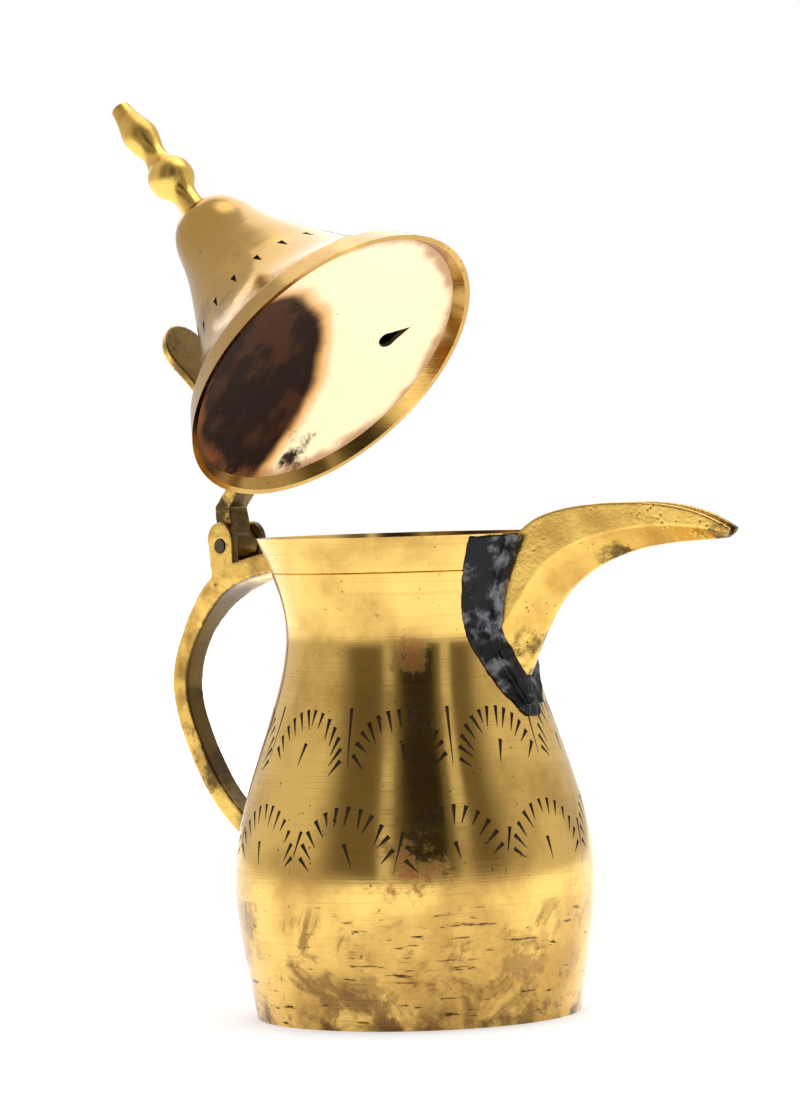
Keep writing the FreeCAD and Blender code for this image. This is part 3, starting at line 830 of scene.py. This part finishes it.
def castTree():
    tree, inputs, output = treeWith("castSkin", (
        ("Pit Scale", "Float"), ("Pit Size", "Float"), ("Pit Depth", "Float"), ("Pit Cluster", "Float"),
        ("Lump Scale", "Float"), ("Lump Height", "Float"), ("Material", "Material")))
    place = addNode(tree, "GeometryNodeInputPosition").outputs[0]
    normal = addNode(tree, "GeometryNodeInputNormal").outputs[0]
    cells = addNode(tree, "ShaderNodeTexVoronoi")
    feed(tree, cells.inputs["Vector"], place)
    feed(tree, cells.inputs["Scale"], inputs["Pit Scale"])
    near = addNode(tree, "ShaderNodeMapRange", interpolation_type="SMOOTHSTEP")
    feed(tree, near.inputs["Value"], cells.outputs["Distance"])
    feed(tree, near.inputs["From Min"], inputs["Pit Size"])
    near.inputs["From Max"].default_value = 0.0
    patches = noise(tree, place, pitPatches["scale"], 3)
    chosen = addNode(tree, "ShaderNodeMapRange", interpolation_type="SMOOTHSTEP")
    feed(tree, chosen.inputs["Value"], patches)
    feed(tree, chosen.inputs["From Min"], inputs["Pit Cluster"])
    feed(tree, chosen.inputs["From Max"], math1(tree, "ADD", inputs["Pit Cluster"], pitPatches["edge"]))
    pit = math1(tree, "MULTIPLY", near.outputs["Result"], chosen.outputs["Result"])
    lumps = addNode(tree, "ShaderNodeTexNoise")
    feed(tree, lumps.inputs["Vector"], place)
    feed(tree, lumps.inputs["Scale"], inputs["Lump Scale"])
    uneven = math1(tree, "SUBTRACT", lumps.outputs["Fac"], 0.5)
    raised = math1(tree, "MULTIPLY", uneven, inputs["Lump Height"])
    offset = math1(tree, "SUBTRACT", raised, math1(tree, "MULTIPLY", pit, inputs["Pit Depth"]))
    kept = addNode(tree, "GeometryNodeStoreNamedAttribute", data_type="FLOAT", domain="POINT")
    feed(tree, kept.inputs["Geometry"], inputs["Geometry"])
    kept.inputs["Name"].default_value = "pit"
    feed(tree, kept.inputs["Value"], pit)
    # how far each point of the skin faces the pot, which stands on the +X side
    faced = addNode(tree, "GeometryNodeStoreNamedAttribute", data_type="FLOAT", domain="POINT")
    feed(tree, faced.inputs["Geometry"], kept.outputs["Geometry"])
    faced.inputs["Name"].default_value = "inward"
    feed(tree, faced.inputs["Value"], separate(tree, normal)[0])
    moved = addNode(tree, "GeometryNodeSetPosition")
    feed(tree, moved.inputs["Geometry"], faced.outputs["Geometry"])
    feed(tree, moved.inputs["Offset"], vecMath(tree, "SCALE", normal, scale=offset))
    whole = addNode(tree, "GeometryNodeRealizeInstances")
    feed(tree, whole.inputs["Geometry"], moved.outputs["Geometry"])
    painted = addNode(tree, "GeometryNodeSetMaterial")
    feed(tree, painted.inputs["Geometry"], whole.outputs["Geometry"])
    feed(tree, painted.inputs["Material"], inputs["Material"])
    tree.links.new(painted.outputs["Geometry"], output)
    return tree


castSkin = castTree()


def mergedCopy(mesh, distance=1e-6):
    # a CAD mesh is loose triangles
    copy = mesh.copy()
    welded = bmesh.new()
    welded.from_mesh(copy)
    bmesh.ops.remove_doubles(welded, verts=welded.verts, dist=distance)
    welded.to_mesh(copy)
    welded.free()
    return copy


def castPiece(name, node, body, look):
    obj = newObject(name, mergedCopy(nodes[node].data))
    remesh = obj.modifiers.new("remesh", "REMESH")
    remesh.mode = "VOXEL"
    remesh.voxel_size = look["voxel"] * mm
    worn = obj.modifiers.new("worn", "SMOOTH")
    worn.factor = 0.5
    worn.iterations = look["rounding"]
    settled(obj)
    runTree(obj, castSkin, look["skin"])
    obj.data.shade_smooth()
    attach(obj, body)
    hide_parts(node)
    print(name, len(obj.data.polygons), "faces")


spoutCast = {
    "voxel": 0.22, "rounding": 4,
    "skin": {"Pit Scale": 1100.0, "Pit Size": 0.34, "Pit Depth": 0.00022, "Pit Cluster": 0.50,
             "Lump Scale": 160.0, "Lump Height": 0.00015, "Material": spoutBrass},
}
handleCast = {
    "voxel": 0.28, "rounding": 8,
    "skin": {"Pit Scale": 900.0, "Pit Size": 0.30, "Pit Depth": 0.00015, "Pit Cluster": 0.60,
             "Lump Scale": 130.0, "Lump Height": 0.0002, "Material": handleBrass},
}
strapCast = {
    "voxel": 0.22, "rounding": 4,
    "skin": {"Pit Scale": 900.0, "Pit Size": 0.28, "Pit Depth": 0.0001, "Pit Cluster": 0.62,
             "Lump Scale": 130.0, "Lump Height": 0.0001, "Material": strapBrass},
}
solderRun = {
    "voxel": 0.20, "rounding": 12,
    "skin": {"Pit Scale": 500.0, "Pit Size": 0.3, "Pit Depth": 0.0001, "Pit Cluster": 0.55,
             "Lump Scale": 280.0, "Lump Height": 0.0011, "Material": solder},
}
castPiece("cast_spout", "spout", "pot", spoutCast)
castPiece("cast_handle", "handle", "pot", handleCast)
castPiece("cast_strap", "lid_strap", "lid", strapCast)
castPiece("solder_run", "spout_solder", "pot", solderRun)


# the CAD pieces that keep their shape

keptNodes = {
    "lower_bowl": bowlBrass, "base_disc": bowlBrass, "lid_liner": linerMetal,
    "finial": finialBrass, "hinge_pin": steel,
    "belly_solder": solder, "base_solder": solder, "handle_top_solder": solder,
    "handle_foot_solder": solder, "strap_solder": solder,
}
for name, material in keptNodes.items():
    nodes[name].data.materials.clear()
    nodes[name].data.materials.append(material)
print("kept nodes painted")


# pale floor and studio

studio = {
    "floorSize": 6.0,
    "floorColour": (0.95, 0.95, 0.95, 1.0),
    "floorRoughness": 0.9,
    "floorGlow": 0.20,
    "white": (1.0, 1.0, 1.0),
    "tent": (0.74, 0.72, 0.68),
    "room": (0.16, 0.135, 0.095),
    "panel": (0.018, 0.014, 0.011),
    "facing": 42.8,           # bearings in degrees
    "roomHalf": 78,
    "panelHalf": 17,
    "panelOff": 7,
    "horizon": (0.015, 0.05),
    "roomEdge": 0.5,          # soft edges and strips in radians
    "panelEdge": 0.05,
    "stripOff": 0.46,
    "stripSpan": (0.11, 0.05),
    "stripStrength": 0.6,
    "lampAim": (0, 0, 0.09),
    "lights": (("key", (0.0, 0.5, 1.5), 1.2, 8.0), ("fill", (-0.9, 0.6, 0.8), 0.9, 2.6)),
}


def makeFloor():
    half = studio["floorSize"] / 2
    mesh = bpy.data.meshes.new("floor")
    corners = [(-half, -half, 0), (half, -half, 0), (half, half, 0), (-half, half, 0)]
    mesh.from_pydata(corners, [], [(0, 1, 2, 3)])
    floor = newObject("floor", mesh)
    material, shader = newMaterial("paleFloor")[::2]
    shader.inputs["Base Color"].default_value = studio["floorColour"]
    shader.inputs["Roughness"].default_value = studio["floorRoughness"]
    shader.inputs["Emission Color"].default_value = (*studio["white"], 1.0)
    shader.inputs["Emission Strength"].default_value = studio["floorGlow"]
    mesh.materials.append(material)


def makeWorld():
    world = bpy.data.worlds.new("studio")
    bpy.context.scene.world = world
    world.use_nodes = True
    tree = world.node_tree
    # the metal sees a dim room above the horizon in front, with a dark upright panel and two light strips
    x, y, z = separate(tree, addNode(tree, "ShaderNodeTexCoord").outputs["Generated"])
    way = math.radians(studio["facing"])
    cosine, sine = math.cos(way), math.sin(way)
    ahead = math1(tree, "SUBTRACT", math1(tree, "MULTIPLY", x, sine), math1(tree, "MULTIPLY", y, cosine))
    aside = math1(tree, "ADD", math1(tree, "MULTIPLY", x, cosine), math1(tree, "MULTIPLY", y, sine))
    bearing = math1(tree, "ARCTAN2", aside, ahead)
    above = span(tree, z, *studio["horizon"])
    wide = math.radians(studio["roomHalf"])
    room = span(tree, math1(tree, "ABSOLUTE", bearing), wide, wide - studio["roomEdge"])
    colour = blendColour(tree, math1(tree, "MULTIPLY", above, room), studio["tent"], studio["room"])
    slim = math.radians(studio["panelHalf"])
    offset = math1(tree, "ABSOLUTE", math1(tree, "SUBTRACT", bearing, math.radians(studio["panelOff"])))
    panel = span(tree, offset, slim, slim - studio["panelEdge"])
    colour = blendColour(tree, math1(tree, "MULTIPLY", above, panel), colour, studio["panel"])
    fromStrip = math1(tree, "ABSOLUTE", math1(tree, "SUBTRACT", offset, studio["stripOff"]))
    strips = math1(tree, "MULTIPLY", above, span(tree, fromStrip, *studio["stripSpan"]))
    strips = math1(tree, "MULTIPLY", strips, studio["stripStrength"])
    colour = blendColour(tree, strips, colour, studio["white"])
    shiny = addNode(tree, "ShaderNodeLightPath").outputs["Is Glossy Ray"]
    seen = blendColour(tree, shiny, studio["white"], colour)
    tree.links.new(seen, tree.nodes["Background"].inputs["Color"])


def makeLamps():
    for name, place, size, power in studio["lights"]:
        lamp = bpy.data.lights.new(name, "AREA")
        lamp.size = size
        lamp.energy = power
        obj = newObject(name, lamp)
        obj.location = place
        aim = Vector(studio["lampAim"]) - Vector(place)
        obj.rotation_euler = aim.to_track_quat("-Z", "Y").to_euler()


makeFloor()
makeWorld()
makeLamps()
print("studio made")


# camera, matched to the photograph

view = {
    "distance": 0.940,
    "height": 0.110,
    "azimuth": 42.8,
    "pitch": 1.036,
    "yaw": 0.0705,
    "roll": 1.7,
    "lens": 154.4,
    "sensorHeight": 36.0,
    "clipStart": 0.01,
}


def makeCamera():
    lens = bpy.data.cameras.new("camera")
    lens.sensor_fit = "VERTICAL"
    lens.sensor_height = view["sensorHeight"]
    lens.lens = view["lens"]
    lens.clip_start = view["clipStart"]
    camera = newObject("camera", lens)
    azimuth, pitch = math.radians(view["azimuth"]), math.radians(view["pitch"])
    level = Vector((math.sin(azimuth), -math.cos(azimuth), 0))
    up = Vector((0, 0, 1))
    back = level * math.cos(pitch) + up * math.sin(pitch)
    right = up.cross(back).normalized()
    top = back.cross(right)
    roll = math.radians(view["roll"])
    tilted = right * math.cos(roll) - top * math.sin(roll)
    crown = top * math.cos(roll) + right * math.sin(roll)
    axes = Matrix((tilted, crown, back)).transposed()
    axes = Matrix.Rotation(math.radians(view["yaw"]), 3, "Z") @ axes
    camera.matrix_world = Matrix.Translation(level * view["distance"] + up * view["height"]) @ axes.to_4x4()
    bpy.context.scene.camera = camera


makeCamera()
print("camera placed")
bpy.context.scene.view_settings.view_transform = "Standard"

bpy.context.view_layer.update()
